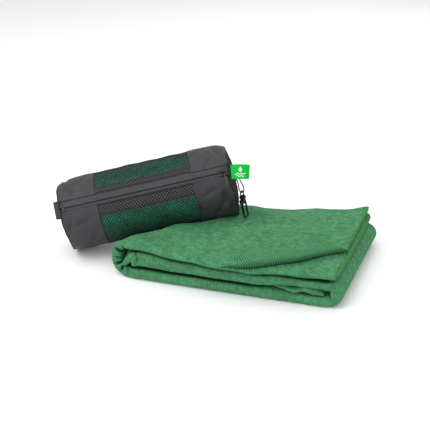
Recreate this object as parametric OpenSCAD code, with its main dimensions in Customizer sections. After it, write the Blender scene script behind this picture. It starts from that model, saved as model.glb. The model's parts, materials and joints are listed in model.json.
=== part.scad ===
// Quick dry towel, folded on the ground, with a second one rolled in its zipped mesh pouch.
// +Z is up and the folded towel's long side runs along X. The origin is on the ground, in the
// middle of the ground that the towel and the pouch cover. All sizes are in millimetres.

/* [Folded towel] */
// Length of the folded towel
towel_l = 300; // [290:1:310]
// Depth of the folded towel, a quarter of the cloth's width
towel_d = 204; // [200:1:210]
// Height of the folded stack
towel_h = 50; // [49.5:0.1:50.5]
// Thickness of one pass of the stack, which is four layers of cloth
pass_t = 13.2; // [12.8:0.1:13.4]
// Thickness of the innermost pass, which the others press flat
inner_t = 8.4; // [7:0.1:8.4]
// Width of the sewn hems
hem_w = 4; // [3:0.5:5]
// Thickness of the corner that is turned back on the top
corner_t = 4.6; // [3:0.1:5]

/* [Pouch] */
// Length of the pouch between its end seams
pouch_l = 226; // [226:1:228]
// Outer radius of the pouch
pouch_r = 48.5; // [48.4:0.1:48.6]
// Thickness of the pouch's cloth
wall = 0.8; // [0.7:0.1:0.8]
// Length of each nylon band at the ends of the pouch
band_l = 47; // [40:1:50]
// Height of the domed end caps
cap_h = 6.5; // [5:0.5:7]
// Turn of the pouch about its own axis, which aims the zip
pouch_roll = 55; // [50:1:60]
// Slope of the pouch, which leans on the towel
pouch_tilt = 11.5; // [11.5:0.1:12]
// Heading of the pouch
pouch_yaw = 25; // [24:1:26]

/* [Zip] */
// Zip tape that shows above the coil
tape_above = 9.3; // [8:0.1:10]
// Zip tape that shows below the coil
tape_below = 4.5; // [4:0.1:6]
// Half of the gap between the two tapes
zip_gap = 0.6; // [0.6:0.05:0.8]
// Pitch of the coil's teeth
tooth_pitch = 2.4; // [2.2:0.1:3]
// Place of the slider's tail along the pouch, with the zip closed
slider_at = 209.5; // [204:0.5:210]
// Length of the slider
slider_l = 12; // [11:0.5:12.5]

/* [Clip] */
// Radius of the clip's wire
clip_wire = 1.3; // [1.2:0.05:1.35]
// Radius of the claw's centreline
claw_r = 4.3; // [4.2:0.1:4.6]
// Diameter of the hanging loop's cord
cord_d = 1.5; // [1.2:0.1:1.6]

/* [Hidden] */
$fn = 64;
slack = 0.3;           // gap between two pieces that move past each other

// folded towel: its cloth runs top, left turn, bottom, right turn, middle, nose, inner
towel_x = 55;          // middle of the folded towel along X
layer_t = pass_t / 4;  // one layer of cloth
pass_gap = 0.6;        // gap between two passes
mid_top = towel_h - pass_t - pass_gap - 0.2;
turn_left = -towel_l / 2 + towel_h / 2;
turn_right = towel_l / 2 - mid_top / 2;
top_end = turn_right + 2;
nose_r = (mid_top - pass_t - pass_gap) / 2;
nose_z = mid_top - nose_r;
inner_end = 126;       // where the cloth's inner end lies
inner_set_back = 8;    // how far the inner pass stands back from the front
// the turned corner, seen from above, in the towel's own X and Y
fold_line = [[12, -102], [36, -98.5], [58, -93], [78, -81], [96, -67], [116, -50], [137, -33]];
corner_hem_out = [[137, -33], [122, -24.5], [107, -15], [97, -7.5], [86, -3], [63, -5], [40, -9]];
corner_hem_in = [[39.5, -13], [63, -9], [85, -7], [95, -11], [105, -18.5], [120, -28], [133.5, -36]];
corner_edge = [[30, -28], [23.5, -45], [17, -72]];

// pouch: its own X runs along its axis and its own Z comes out through the zip
pouch_at = [-182, -53, 47.9];
binding_w = 3;         // width of the seam bindings
binding_r = pouch_r - 3;
mesh_from = binding_w + band_l;
mesh_to = pouch_l - binding_w - band_l;
tape_r = pouch_r - wall;
edge_above = asin(tape_above / pouch_r);
edge_below = asin(tape_below / pouch_r);
tape_edge = 24;        // angle that the hidden edge of a zip tape reaches
back_edge = 120;       // angle where the back panel starts on either side
roll_r = 43.8;         // outer radius of the rolled towel
roll_t = 5.6;          // thickness of its cloth, doubled
roll_pitch = 6;
roll_turns = 5.5;
roll_from = 200;       // angle of the roll's free end

// zip slider, measured from its tail
plate_t = 1.2;
coil_top = 46.7;       // height of the coil over the pouch's axis
coil_t = 1.4;
plate_z = pouch_r + slack + 0.1;
bridge_mid = 5;        // middle of the bridge that carries the pull
bridge_r = 3.05;
bridge_leg = 1;         // straight part of the bridge's legs, under its arch
barrel_r = 0.85;        // outer radius of the tab's barrel on the link
link_wire = 0.45;
link_r = 1.65;         // half width of the link, between its wires
link_l = 5;
link_x = slider_at + bridge_mid + bridge_r;
link_z = plate_z + plate_t + slack + barrel_r + 0.05;

// clip, in its own frame: the gate is on the +X side
hook_at = [49.44, 13.96, 51.5];
hook_turn = [3.5, -10.5, 0];
hook_yaw = -105;
claw_z = claw_r + clip_wire;
arch_z = 22;           // middle of the arch that joins the leg to the swivel
pin_z = 24;
pin_r = 0.6;
stem_r = 1.3;
collar_z = 28.9;
collar_h = 3;
eye_x = 3.2;
eye_z = 36;

// route of the hanging loop's cord, from one sewn end round the clip's eye to the other
cord_route = [
    [30.5, 5.5, 120.5], [32.5, 7, 120.5], [35.1, 8.9, 117], [38.1, 10.7, 110.5],
    [41, 11.7, 103.5], [44, 12.1, 97.5], [45.6, 11.8, 92.5], [45.2, 11.7, 89.4],
    [42.8, 11.7, 88], [40.2, 11.9, 89.4], [38.8, 11.9, 93], [38.1, 11.5, 98], [37, 10.3, 103.5],
    [35.7, 8.2, 109], [34.6, 6, 113.5], [33.5, 4.3, 116], [32.3, 3.2, 116.2]
];
cord_steps = 3;

// ---- shapes that repeat -------------------------------------------------------------------

// one half of a ring; side is -1 for the left half and 1 for the right half
module half_ring(r_in, r_out, side) {
    intersection() {
        difference() {
            circle(r_out);
            circle(r_in);
        }
        translate([side < 0 ? -2 * r_out : 0, -2 * r_out]) square([2 * r_out, 4 * r_out]);
    }
}

// the towel's section between two depths, counted from the outer face of the cloth
module section(from, to) {
    translate([turn_left, towel_h - to]) square([top_end - turn_left, to - from]);
    translate([turn_left, towel_h / 2]) half_ring(towel_h / 2 - to, towel_h / 2 - from, -1);
    translate([turn_left, from]) square([turn_right - turn_left, to - from]);
    translate([turn_right, mid_top / 2]) half_ring(mid_top / 2 - to, mid_top / 2 - from, 1);
    translate([turn_left, mid_top - to]) square([turn_right - turn_left, to - from]);
}

// lays a section that is drawn in X and Z along Y, between two places from the front
module along_towel(from, to) {
    translate([towel_x, to - towel_d / 2, 0]) rotate([90, 0, 0]) linear_extrude(to - from) children();
}

module in_pouch() {
    translate(pouch_at) rotate([pouch_roll, -pouch_tilt, pouch_yaw]) children();
}

// a sector of a tube round the pouch's axis; angles run from the zip towards the top
module wrap(r_in, r_out, from, to, s0, s1) {
    translate([s0, 0, 0]) rotate([0, 90, 0]) rotate([0, 0, 180 - to])
        rotate_extrude(angle = to - from, $fn = 96)
            translate([r_in, 0]) square([r_out - r_in, s1 - s0]);
}

module ring_tube(r_in, r_out, s0, s1) {
    translate([s0, 0, 0]) rotate([0, 90, 0]) difference() {
        cylinder(r = r_out, h = s1 - s0, $fn = 96);
        translate([0, 0, -1]) cylinder(r = r_in, h = s1 - s0 + 2, $fn = 96);
    }
}

// a shallow dome with its rim at z = 0
module dome(r, h, t) {
    ball = (r * r + h * h) / (2 * h);
    rotate_extrude($fn = 96) intersection() {
        translate([0, h - ball]) difference() {
            circle(ball, $fn = 720);
            circle(ball - t, $fn = 720);
        }
        translate([0, -h]) square([r, 3 * h]);
    }
}

function unit(v) = v / norm(v);
function spline(p, i, t) =
    let (a = p[max(i - 1, 0)], b = p[i], c = p[i + 1], d = p[min(i + 2, len(p) - 1)])
    0.5 * (2 * b + (c - a) * t + (2 * a - 5 * b + 4 * c - d) * t * t + (3 * b - a - 3 * c + d) * t * t * t);
function smooth(p, n) = concat(
    [for (i = [0 : len(p) - 2]) for (k = [0 : n - 1]) spline(p, i, k / n)], [p[len(p) - 1]]);
function heading(p, i) = unit(p[min(i + 1, len(p) - 1)] - p[max(i - 1, 0)]);

// a round tube along a list of points; across is a direction that the route never takes
module tube(p, r, across) {
    n = 8;
    m = len(p);
    points = [for (i = [0 : m - 1]) let (t = heading(p, i), u = unit(cross(across, t)), v = cross(t, u))
        for (k = [0 : n - 1]) p[i] + r * (cos(360 * k / n) * u + sin(360 * k / n) * v)];
    sides = [for (i = [0 : m - 2]) for (k = [0 : n - 1])
        [i * n + k, (i + 1) * n + k, (i + 1) * n + (k + 1) % n, i * n + (k + 1) % n]];
    caps = [[for (k = [0 : n - 1]) k], [for (k = [0 : n - 1]) m * n - 1 - k]];
    polyhedron(points, concat(sides, caps));
}

// ---- folded towel -------------------------------------------------------------------------

module pouch_hollow() {
    in_pouch() translate([-12, 0, 0]) rotate([0, 90, 0])
        cylinder(r = pouch_r + 0.4, h = pouch_l + 22, $fn = 96);
}

module front_corner() {
    translate([towel_x, 0, towel_h - 2 * layer_t]) linear_extrude(2 * layer_t + 1)
        polygon(concat(fold_line, [[towel_l, -33], [towel_l, -towel_d], [12, -towel_d]]));
}

module folded_towel() {
    color("seagreen") difference() {
        union() {
            along_towel(0, towel_d - hem_w) {
                section(0, pass_t);
                translate([turn_left, nose_z]) half_ring(0, nose_r, -1);
            }
            along_towel(inner_set_back, towel_d - hem_w)
                translate([turn_left, nose_z - nose_r])
                    square([inner_end - turn_left, inner_t]);
            along_towel(towel_d - hem_w, towel_d) section(2 * layer_t, pass_t);
        }
        pouch_hollow();
        front_corner();
    }
}

module turned_corner() {
    color("seagreen") translate([towel_x, 0, towel_h]) linear_extrude(corner_t)
        polygon(concat([for (i = [0 : 5]) fold_line[i]], [for (i = [6 : -1 : 0]) corner_hem_in[i]], corner_edge));
}

module end_hem_corner() {
    color("limegreen") translate([towel_x, 0, towel_h]) linear_extrude(corner_t)
        polygon(concat(corner_hem_out, corner_hem_in));
}

// two hem bars, one for each of two layers that lie on each other
module hem_pair(z, from, to) {
    for (i = [0, 1])
        translate([towel_x + top_end, from, z + i * layer_t + 0.15])
            cube([hem_w, to - from, layer_t - 0.3]);
}

module end_hem_upper() {
    color("limegreen") hem_pair(towel_h - 2 * layer_t, -28, towel_d / 2);
}

module end_hem_lower() {
    color("limegreen") hem_pair(towel_h - pass_t, -towel_d / 2, towel_d / 2);
}

module side_hem() {
    color("limegreen") along_towel(towel_d - hem_w, towel_d) {
        section(0, layer_t - 0.1);
        section(layer_t + 0.1, 2 * layer_t - 0.1);
    }
}

// ---- rolled towel and pouch ---------------------------------------------------------------

module rolled_towel() {
    n = roll_turns * 16;
    outer = [for (i = [0 : n]) let (a = 22.5 * i, r = roll_r - roll_pitch * a / 360)
        [r * cos(a), r * sin(a)]];
    inner = [for (i = [n : -1 : 0]) let (a = 22.5 * i, r = roll_r - roll_t - roll_pitch * a / 360)
        [r * cos(a), r * sin(a)]];
    color("seagreen") in_pouch() translate([6, 0, 0]) rotate([0, 90, 0])
        rotate([0, 0, 180 - roll_from]) linear_extrude(pouch_l - 12) polygon(concat(outer, inner));
}

module rolled_towel_hem() {
    color("limegreen") in_pouch()
        wrap(roll_r - roll_t, roll_r - 0.4, roll_from, roll_from + 5, 6, pouch_l - 6);
}

module band(s0, s1) {
    color("dimgray") in_pouch() wrap(tape_r, pouch_r, edge_above, 360 - edge_below, s0, s1);
}

module nylon_band_left() {
    band(binding_w, mesh_from);
}

module nylon_band_right() {
    band(mesh_to, pouch_l - binding_w);
}

module mesh_panel_upper() {
    color("darkslategray") in_pouch() wrap(tape_r, pouch_r, edge_above, back_edge, mesh_from, mesh_to);
}

module mesh_panel_lower() {
    color("darkslategray") in_pouch()
        wrap(tape_r, pouch_r, 360 - back_edge, 360 - edge_below, mesh_from, mesh_to);
}

module back_panel() {
    color("dimgray") in_pouch() wrap(tape_r, pouch_r, back_edge, 360 - back_edge, mesh_from, mesh_to);
}

module end_cap_left() {
    color("dimgray") in_pouch() rotate([0, -90, 0]) dome(binding_r, cap_h, wall);
}

module end_cap_right() {
    color("dimgray") in_pouch() translate([pouch_l, 0, 0]) rotate([0, 90, 0])
        dome(binding_r, cap_h, wall);
}

module seam_binding_left() {
    color("black") in_pouch() ring_tube(binding_r, pouch_r, 0, binding_w);
}

module seam_binding_right() {
    color("black") in_pouch() ring_tube(binding_r, pouch_r, pouch_l - binding_w, pouch_l);
}

// ---- zip ----------------------------------------------------------------------------------

module zip_tape_upper() {
    color("gray") in_pouch()
        wrap(tape_r - wall, tape_r, asin(zip_gap / tape_r) + 0.01, tape_edge, binding_w, pouch_l - binding_w);
}

module zip_tape_lower() {
    color("gray") in_pouch() mirror([0, 1, 0])
        wrap(tape_r - wall, tape_r, asin(zip_gap / tape_r) + 0.01, tape_edge, binding_w, pouch_l - binding_w);
}

// one row of coil teeth on the inner face of its tape
module coil_row() {
    spine = 1;
    tooth = 1.4;
    count = floor((pouch_l - 16) / tooth_pitch);
    teeth = [for (i = [0 : count - 1]) for (q = [[0, tooth], [0, 0], [1.2, 0], [1.2, tooth]])
        [i * tooth_pitch + q[0], q[1]]];
    length = (count - 1) * tooth_pitch + 1.2;
    translate([8, zip_gap, coil_top - coil_t]) linear_extrude(coil_t)
        polygon(concat(teeth, [[length, tooth + spine], [0, tooth + spine]]));
}

module zip_coil_upper() {
    color("black") in_pouch() coil_row();
}

module zip_coil_lower() {
    color("black") in_pouch() mirror([0, 1, 0]) coil_row();
}

module bottom_stop() {
    color("black") in_pouch() translate([5, -3, tape_r + 0.02]) cube([3, 6, 1]);
}

module top_stops() {
    color("black") in_pouch() for (side = [0, 1]) mirror([0, side, 0])
        translate([221.7, zip_gap + 0.2, tape_r + 0.02]) cube([1.2, 2.4, 1]);
}

module slider_plate() {
    linear_extrude(plate_t)
        polygon([[0, -3.4], [1, -3.8], [7, -4.2], [10, -4.6], [slider_l, -3.6],
                 [slider_l, 3.6], [10, 4.6], [7, 4.2], [1, 3.8], [0, 3.4]]);
}

module slider_body() {
    color("dimgray") in_pouch() translate([slider_at, 0, 0]) {
        translate([0, 0, plate_z]) slider_plate();
        translate([0, 0, coil_top - coil_t - slack - 0.1 - 0.9]) linear_extrude(0.9)
            polygon([[0, -3.2], [slider_l, -4.2], [slider_l, 4.2], [0, 3.2]]);
        translate([8.5, -0.3, coil_top - coil_t - 1]) cube([3, 0.6, plate_z - coil_top + coil_t + 1.2]);
    }
}

module slider_bridge() {
    color("gray") in_pouch() translate([slider_at + bridge_mid, 0.9, plate_z + plate_t])
        rotate([90, 0, 0]) linear_extrude(1.8) {
            for (side = [-1, 1]) translate([side * bridge_r - 0.55, 0]) square([1.1, bridge_leg]);
            translate([0, bridge_leg]) rotate(90) half_ring(bridge_r - 0.55, bridge_r + 0.55, 1);
        }
}

// the pull's link and tab are drawn about the link's pivot on the bridge
module at_link() {
    in_pouch() translate([link_x, 0, link_z]) children();
}

module pull_link() {
    color("gray") at_link() {
        rotate_extrude(angle = 180) translate([link_r, 0]) circle(link_wire, $fn = 24);
        for (side = [-1, 1]) {
            translate([side * link_r, 0, 0]) rotate([90, 0, 0])
                cylinder(r = link_wire, h = link_l, $fn = 24);
            translate([side * link_r, -link_l, 0]) sphere(link_wire, $fn = 24);
        }
        translate([-link_r, -link_l, 0]) rotate([0, 90, 0])
            cylinder(r = link_wire, h = 2 * link_r, $fn = 24);
    }
}

module pull_tab() {
    color("gray") at_link() translate([0, -link_l, 0]) rotate([10, 0, 0]) difference() {
        union() {
            translate([-1, 0, 0]) rotate([0, 90, 0]) cylinder(r = barrel_r, h = 2, $fn = 48);
            translate([-1, -2.4, -0.45]) cube([2, 1.8, 0.9]);
            translate([-1.8, -11.5, -0.45]) cube([3.6, 9.4, 0.9]);
            translate([0, -11.5, -0.45]) cylinder(r = 1.8, h = 0.9, $fn = 48);
        }
        translate([-2, 0, 0]) rotate([0, 90, 0]) cylinder(r = link_wire + 0.07, h = 4, $fn = 48);
        translate([0, -11.5, -1]) cylinder(r = 0.9, h = 2, $fn = 48);
    }
}

// ---- grab loop and tag --------------------------------------------------------------------

module grab_loop() {
    legs = 2;
    mid = 44.8;
    color("dimgray") in_pouch() translate([0, 11, 0]) rotate([90, 0, 0]) linear_extrude(22) {
        translate([-legs, mid]) half_ring(2.5, 3.7, -1);
        translate([-legs, mid + 2.5]) square([legs, 1.2]);
        translate([-legs, mid - 3.7]) square([legs - 1.4, 1.2]);
    }
}

// the tag is a ribbon folded at its free end, a little askew on the seam
module on_tag() {
    in_pouch() translate([pouch_l + 1.6, -1.7, 47.9]) rotate([0, 0, -12]) children();
}

module tag() {
    reach = 22;
    width = 19;
    color("limegreen") on_tag() translate([0, width / 2, 0]) rotate([90, 0, 0]) linear_extrude(width) {
        square([reach, 0.45]);
        translate([0, 1.45]) square([reach, 0.45]);
        translate([reach, 0.95]) half_ring(0.5, 0.95, 1);
    }
}

module tag_print() {
    color("white") on_tag() translate([12, -0.3, 1.9]) linear_extrude(0.08) {
        translate([0, 2.6]) circle(2.2);
        polygon([[-1.95, 3.6], [1.95, 3.6], [0, 8]]);
        for (x = [-5, 0, 5]) translate([x, -1.6]) intersection() {
            difference() {
                circle(3);
                circle(2.1);
            }
            translate([-2.4, -4]) square([4.8, 3]);
        }
    }
}

// ---- hanging loop and clip ----------------------------------------------------------------

module cord_loop() {
    color("black") tube(smooth(cord_route, cord_steps), cord_d / 2, [0, 1, 0]);
}

module on_hook() {
    translate(hook_at) rotate(hook_turn) rotate([0, 0, hook_yaw]) children();
}

// part of a wire ring in X and Z, from one angle to another
module wire_arc(r, wire, from, to) {
    rotate([90, 0, 0]) rotate([0, 0, from]) rotate_extrude(angle = to - from)
        translate([r, 0]) circle(wire, $fn = 32);
}

module hook_eye() {
    color("gray") on_hook() {
        translate([0, 0, collar_z]) difference() {
            cylinder(r = eye_x + 1.1, h = collar_h);
            translate([0, 0, -1]) cylinder(r = stem_r + 0.06, h = collar_h + 2);
        }
        for (side = [-1, 1]) translate([side * eye_x, 0, collar_z + collar_h - 0.5])
            cylinder(r = 0.9, h = eye_z - collar_z - collar_h + 0.5, $fn = 32);
        translate([0, 0, eye_z]) wire_arc(eye_x, 0.9, 0, 180);
    }
}

module hook_body() {
    color("dimgray") on_hook() difference() {
        union() {
            translate([0, 0, claw_z]) wire_arc(claw_r, clip_wire, 180, 360);
            translate([-claw_r, 0, claw_z]) cylinder(r = clip_wire, h = arch_z - claw_z, $fn = 32);
            translate([claw_r, 0, claw_z]) cylinder(r = clip_wire, h = 2.4, $fn = 32);
            translate([0, 0, arch_z]) wire_arc(claw_r, clip_wire, 90, 180);
            translate([-1.5, -2.4, arch_z + 0.2]) cube([7.3, 4.8, 5.3]);
            translate([0, 0, arch_z + 4]) cylinder(r = 2.2, h = collar_z - slack - arch_z - 4);
            translate([0, 0, collar_z - 1]) cylinder(r = stem_r, h = collar_h + 2);
            translate([0, 0, collar_z + collar_h + slack]) cylinder(r = 1.9, h = 1.2);
        }
        translate([1.9, -1.55, arch_z - 1]) cube([6, 3.1, 5.3]);
        translate([claw_r, 4, pin_z]) rotate([90, 0, 0]) cylinder(r = pin_r, h = 8, $fn = 32);
    }
}

module gate() {
    color("gray") on_hook() difference() {
        union() {
            translate([claw_r, 0.1, pin_z]) rotate([90, 0, 0]) cylinder(r = 1.9, h = 1.35, $fn = 48);
            translate([claw_r - 1, -1.25, claw_z + 2.9]) cube([2, 2.5, pin_z - claw_z - 5.2]);
            translate([claw_r - 1, -1.25, pin_z - 3]) cube([2, 1.35, 2]);
            translate([claw_r + 0.8, 0, 18]) rotate([0, 90, 0]) cylinder(r = 1.4, h = 1, $fn = 32);
        }
        translate([claw_r, 2, pin_z]) rotate([90, 0, 0]) cylinder(r = pin_r + 0.05, h = 4, $fn = 48);
    }
}

module gate_pin() {
    color("silver") on_hook() translate([claw_r, 2.6, pin_z]) rotate([90, 0, 0])
        cylinder(r = pin_r, h = 5.2, $fn = 32);
}

module gate_spring() {
    turns = 1.75;
    steps = 21;
    helix = [for (i = [0 : steps]) let (a = 360 * turns * i / steps)
        [claw_r + 1.1 * cos(a), 0.62 + 0.62 * i / steps, pin_z + 1.1 * sin(a)]];
    color("silver") on_hook() tube(helix, 0.16, [0, 1, 0]);
}

folded_towel();
turned_corner();
end_hem_upper();
end_hem_lower();
end_hem_corner();
side_hem();
rolled_towel();
rolled_towel_hem();
nylon_band_left();
nylon_band_right();
mesh_panel_upper();
mesh_panel_lower();
back_panel();
end_cap_left();
end_cap_right();
seam_binding_left();
seam_binding_right();
zip_tape_upper();
zip_tape_lower();
zip_coil_upper();
zip_coil_lower();
bottom_stop();
top_stops();
slider_body();
slider_bridge();
pull_link();
pull_tab();
grab_loop();
tag();
tag_print();
cord_loop();
hook_eye();
hook_body();
gate();
gate_pin();
gate_spring();
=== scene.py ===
"""The looks of a quick dry towel and its pouch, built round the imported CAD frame.

Lengths inside the shape functions are millimetres, as in the frame's own design, and to_mesh()
turns them into metres. Towel points are written from the middle of the folded towel, and pouch
points as a place along its axis, an angle from the zip towards the top, and a radius.
"""
import json
import math

import bpy
import numpy as np
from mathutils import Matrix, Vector


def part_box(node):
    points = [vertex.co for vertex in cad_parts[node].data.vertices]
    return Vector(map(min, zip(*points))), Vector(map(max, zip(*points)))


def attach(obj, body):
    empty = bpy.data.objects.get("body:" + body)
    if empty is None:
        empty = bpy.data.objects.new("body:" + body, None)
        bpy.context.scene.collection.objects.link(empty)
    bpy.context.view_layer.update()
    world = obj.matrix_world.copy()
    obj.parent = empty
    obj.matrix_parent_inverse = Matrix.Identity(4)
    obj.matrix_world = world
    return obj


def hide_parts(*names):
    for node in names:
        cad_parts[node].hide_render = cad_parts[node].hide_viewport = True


MM = 0.001
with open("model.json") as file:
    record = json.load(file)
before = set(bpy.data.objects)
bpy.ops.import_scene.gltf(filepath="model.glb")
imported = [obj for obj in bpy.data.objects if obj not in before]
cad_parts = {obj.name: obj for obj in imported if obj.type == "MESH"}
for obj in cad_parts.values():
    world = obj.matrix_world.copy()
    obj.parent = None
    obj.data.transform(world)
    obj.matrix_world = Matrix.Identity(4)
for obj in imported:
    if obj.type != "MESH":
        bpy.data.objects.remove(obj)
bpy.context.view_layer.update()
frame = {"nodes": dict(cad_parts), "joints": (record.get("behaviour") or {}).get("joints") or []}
nodes = frame["nodes"]
scene = bpy.context.scene

# ---- the frame's own places ----

joints = {j["name"]: j for j in frame["joints"]}
towel_low, towel_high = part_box("folded_towel")
TOWEL_X = (towel_low.x + towel_high.x) / 2 / MM

POUCH_R = 48.5
POUCH_L = 226.0
POUCH_X = -np.array(joints["zip_open"]["axis"])
POUCH_Y = -np.array(joints["loop_swing"]["axis"])
POUCH_Z = np.array(joints["link_turn"]["axis"])
LINK_AT = (217.55, 51.3)  # the pull's link, along the pouch and out from its axis
POUCH_AT = np.array(joints["link_turn"]["pos_m"]) / MM - POUCH_X * LINK_AT[0] - POUCH_Z * LINK_AT[1]


# ---- camera and light ----

def make_camera():
    azimuth, elevation, distance = math.radians(19.5), math.radians(25), 1.2
    back = Vector((math.sin(azimuth) * math.cos(elevation),
                   -math.cos(azimuth) * math.cos(elevation), math.sin(elevation)))
    data = bpy.data.cameras.new("camera")
    data.lens = 72.47
    data.sensor_width = 36
    camera = bpy.data.objects.new("camera", data)
    scene.collection.objects.link(camera)
    camera.location = Vector((TOWEL_X * MM - 0.0634, 0.05195, 0.030)) + back * distance
    camera.rotation_euler = (-back).to_track_quat("-Z", "Y").to_euler()
    scene.camera = camera


def make_light(name, place, target, size, power):
    data = bpy.data.lights.new(name, "AREA")
    data.size = size
    data.energy = power
    lamp = bpy.data.objects.new(name, data)
    scene.collection.objects.link(lamp)
    lamp.location = place
    lamp.rotation_euler = (Vector(target) - Vector(place)).to_track_quat("-Z", "Y").to_euler()


def make_studio():
    world = bpy.data.worlds.new("studio")
    world.use_nodes = True
    sky = world.node_tree.nodes["Background"].inputs
    sky["Color"].default_value = (1, 1, 1, 1)
    sky["Strength"].default_value = 0.72
    scene.world = world
    scene.view_settings.view_transform = "Standard"
    make_light("key", (-0.65, -0.55, 1.4), (0, 0, 0.03), 1.3, 16)
    make_light("fill", (0.3, -1.6, 0.9), (0, 0, 0.03), 1.2, 8)
    make_light("rim", (0.3, 1.3, 1.1), (0, 0, 0.05), 0.9, 7)
    bpy.ops.mesh.primitive_plane_add(size=12, location=(0, 0, 0))
    floor = bpy.context.object
    floor.name = "floor"
    floor.data.materials.append(plain_material("floor_white", (0.93, 0.93, 0.93), 0.9))


# ---- node helpers ----

WAVE_SCALE = 0.3142  # scale of a wave texture whose bands repeat every metre


class Shader:
    """A material with a Principled shader, and short ways to add nodes to it."""

    def __init__(self, name):
        self.material = bpy.data.materials.new(name)
        self.material.use_nodes = True
        self.tree = self.material.node_tree
        self.base = self.tree.nodes["Principled BSDF"]

    def node(self, kind, **inputs):
        made = self.tree.nodes.new(kind)
        for key, value in inputs.items():
            made.inputs[key.replace("_", " ")].default_value = value
        return made

    def link(self, output, target):
        self.tree.links.new(output, target)

    def set(self, **inputs):
        for key, value in inputs.items():
            self.base.inputs[key.replace("_", " ")].default_value = value

    def place(self, kind="Object"):
        coords = self.node("ShaderNodeTexCoord")
        mapping = self.node("ShaderNodeMapping")
        self.link(coords.outputs[kind], mapping.inputs["Vector"])
        return mapping.outputs["Vector"]

    def attribute(self, name):
        made = self.node("ShaderNodeAttribute")
        made.attribute_name = name
        return made.outputs["Fac"]

    def noise(self, where, scale, detail=3, roughness=0.6):
        made = self.node("ShaderNodeTexNoise", Scale=scale, Detail=detail, Roughness=roughness)
        self.link(where, made.inputs["Vector"])
        return made.outputs["Fac"]

    def bands(self, where, pitch, direction="X", wobble=0.0):
        made = self.node("ShaderNodeTexWave", Scale=WAVE_SCALE / pitch, Distortion=wobble)
        made.bands_direction = direction
        self.link(where, made.inputs["Vector"])
        return made.outputs["Fac"]

    def ramp(self, value, stops):
        """Colours along a value from 0 to 1; each stop is a place and a colour."""
        made = self.node("ShaderNodeValToRGB")
        self.link(value, made.inputs["Fac"])
        points = made.color_ramp.elements
        while len(points) < len(stops):
            points.new(0.5)
        for point, (at, colour) in zip(points, stops):
            point.position = at
            point.color = (*colour, 1)
        return made.outputs["Color"]

    def feed(self, socket, value):
        """Links a node's output into a socket, or sets the socket to a colour or a number."""
        if isinstance(value, bpy.types.NodeSocket):
            self.link(value, socket)
        else:
            socket.default_value = (*value, 1) if isinstance(value, tuple) else value

    def mix(self, share, a, b, blend="MIX"):
        made = self.node("ShaderNodeMix")
        made.data_type = "RGBA"
        made.blend_type = blend
        for index, value in ((0, share), (6, a), (7, b)):
            self.feed(made.inputs[index], value)
        return made.outputs[2]

    def math(self, operation, a, b):
        made = self.node("ShaderNodeMath")
        made.operation = operation
        self.feed(made.inputs[0], a)
        self.feed(made.inputs[1], b)
        return made.outputs[0]

    def tones(self, value, colour, *stops):
        """A ramp through shades of one colour; each stop is a place and a factor."""
        return self.ramp(value, [(at, scaled(colour, k)) for at, k in stops])

    def paint(self, share, a, b):
        self.link(self.mix(share, a, b), self.base.inputs["Base Color"])

    def vary_roughness(self, value, low, high):
        made = self.node("ShaderNodeMapRange", To_Min=low, To_Max=high)
        self.link(value, made.inputs["Value"])
        self.link(made.outputs["Result"], self.base.inputs["Roughness"])

    def bump(self, height, distance, strength=1.0):
        made = self.node("ShaderNodeBump", Strength=strength, Distance=distance)
        self.link(height, made.inputs["Height"])
        self.link(made.outputs["Normal"], self.base.inputs["Normal"])


def plain_material(name, colour, roughness):
    s = Shader(name)
    s.set(Base_Color=(*colour, 1), Roughness=roughness)
    return s.material


def scaled(colour, k):
    return tuple(c * k for c in colour)


def towel_material(name, colour, rib_pitch, rib_depth, rib_share, ribbed_near_fold=False):
    """Brushed microfibre: mottled nap over fine knitted ribs that follow the cloth's own UV, with painted
    shade in its folds.
    """
    s = Shader(name)
    where = s.place()
    clouds = s.noise(where, 34, 3, 0.6)
    patches = s.noise(where, 150, 4, 0.75)
    nap = s.noise(where, 620, 3, 0.8)
    cloth = s.place("UV")
    ribs = s.bands(cloth, rib_pitch * 0.8, "Y", 0.4)
    wales = s.bands(cloth, rib_pitch, "X", 0.4)
    mottled = s.mix(0.4, s.tones(patches, colour, (0.42, 0.5), (0.5, 1), (0.58, 1.6)),
                    s.tones(clouds, colour, (0.42, 0.76), (0.58, 1.27)))
    napped = s.mix(0.3, mottled, s.tones(nap, colour, (0.42, 0.55), (0.58, 1.5)))
    knit = s.math("MULTIPLY", wales, s.math("ADD", 0.6, s.math("MULTIPLY", ribs, 0.4)))
    # the ribs show low on the stack's front, or near the fold of the turned corner
    apart = s.node("ShaderNodeSeparateXYZ")
    s.link(cloth if ribbed_near_fold else where, apart.inputs[0])
    depth = s.math("MULTIPLY", apart.outputs["Y" if ribbed_near_fold else "Z"], 20)
    rib_share = s.ramp(depth, [(0.25, (rib_share,) * 3), (0.95, (0.10,) * 3)])
    shade = s.mix(rib_share, napped, s.tones(knit, colour, (0.0, 0.35), (0.8, 1.75)))
    # painted shade: the colour is multiplied darker where a point lies deep in a fold or groove
    fold_shade_ramp = [(0.0, (1, 1, 1)), (0.5, (0.30, 0.36, 0.32)), (1.0, (0.03, 0.05, 0.04))]
    shade = s.mix(1.0, shade, s.ramp(s.attribute("painted_fold_shade"), fold_shade_ramp), "MULTIPLY")
    s.link(shade, s.base.inputs["Base Color"])
    s.bump(s.math("ADD", s.math("MULTIPLY", knit, rib_depth), s.math("MULTIPLY", nap, 0.7)), 0.0005, 0.6)
    s.set(Roughness=0.95, Specular_IOR_Level=0.12, Sheen_Weight=0.15, Sheen_Roughness=0.5,
          Sheen_Tint=(*scaled(colour, 3.0), 1))
    return s.material


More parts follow.
